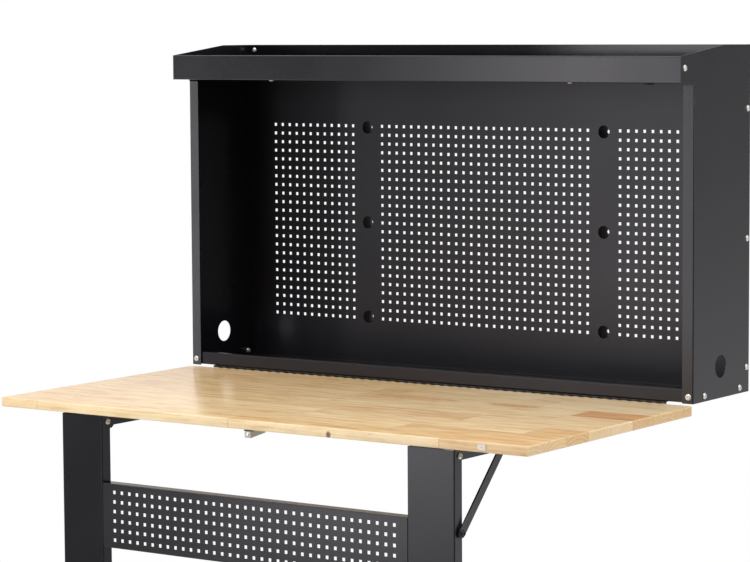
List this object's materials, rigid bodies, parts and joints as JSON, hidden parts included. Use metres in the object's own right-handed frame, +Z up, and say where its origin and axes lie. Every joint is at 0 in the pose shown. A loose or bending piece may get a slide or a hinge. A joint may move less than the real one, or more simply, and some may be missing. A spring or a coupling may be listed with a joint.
{
  "type": "wall mounted folding workbench",
  "caption": "Wall cabinet with a perforated tool panel, a top tray and a hinged wooden worktop that folds up against it on a folding leg frame.",
  "frame": {"origin": "on the wall, in the middle of the back panel's lower hem", "axes": "+X to the right seen from the front, +Y into the wall, +Z up"},
  "size_m": [1.205, 0.8298, 1.4983],
  "materials": {
    "black_paint": "satin powder coat",
    "zinc": "zinc plated",
    "black_steel": "blackened",
    "wood": "gloss lacquer",
    "black_plastic": "moulded",
    "magnet": "nickel plated"
  },
  "bodies": {
    "cabinet": {"back_panel": "black_paint", "left_side_panel": "black_paint", "right_side_panel": "black_paint", "bottom_panel": "black_paint", "tray_floor": "black_paint", "tray_fascia": "black_paint", "left_wall_rail": "black_paint", "right_wall_rail": "black_paint", "cabinet_hinge_leaf": "black_steel", "hinge_pin": "black_steel", "catch_magnet": "magnet"},
    "folding_top": {"worktop": "wood", "worktop_hinge_leaf": "zinc", "left_leg_bracket": "black_paint", "right_leg_bracket": "black_paint", "left_outer_pivot_bolt": "zinc", "left_inner_pivot_bolt": "zinc", "right_outer_pivot_bolt": "zinc", "right_inner_pivot_bolt": "zinc", "front_catch_plate": "black_steel", "front_catch_bracket": "zinc", "front_catch_rivet": "zinc", "strike_plate": "zinc", "left_brace_keeper": "black_paint", "right_brace_keeper": "black_paint"},
    "leg_frame": {"left_leg": "black_paint", "right_leg": "black_paint", "leg_panel": "black_paint", "left_foot": "black_plastic", "right_foot": "black_plastic", "left_brace_bolt": "black_steel", "right_brace_bolt": "black_steel"},
    "left_brace_arm": {"left_brace": "black_paint", "left_brace_stud": "zinc"},
    "right_brace_arm": {"right_brace": "black_paint", "right_brace_stud": "zinc"}
  },
  "joints": [
    {"name": "top_fold", "type": "hinge", "parent": "cabinet", "child": "folding_top", "pos_m": [0, -0.228, -0.01085], "axis": [-1, 0, 0], "range_deg": [0, 90]},
    {"name": "legs_fold", "type": "hinge", "parent": "folding_top", "child": "leg_frame", "pos_m": [0, -0.8075, -0.0448], "axis": [1, 0, 0], "range_deg": [0, 90]},
    {"name": "left_brace_fold", "type": "hinge", "parent": "leg_frame", "child": "left_brace_arm", "pos_m": [0, -0.8075, -0.1813], "axis": [1, 0, 0], "range_deg": [-135.01, 0]},
    {"name": "right_brace_fold", "type": "hinge", "parent": "leg_frame", "child": "right_brace_arm", "pos_m": [0, -0.8075, -0.1813], "axis": [1, 0, 0], "range_deg": [-135.01, 0]}
  ],
  "couplings": [
    {"joint": "left_brace_fold", "follows": "legs_fold", "ratio": -1.5},
    {"joint": "right_brace_fold", "follows": "legs_fold", "ratio": -1.5}
  ]
}
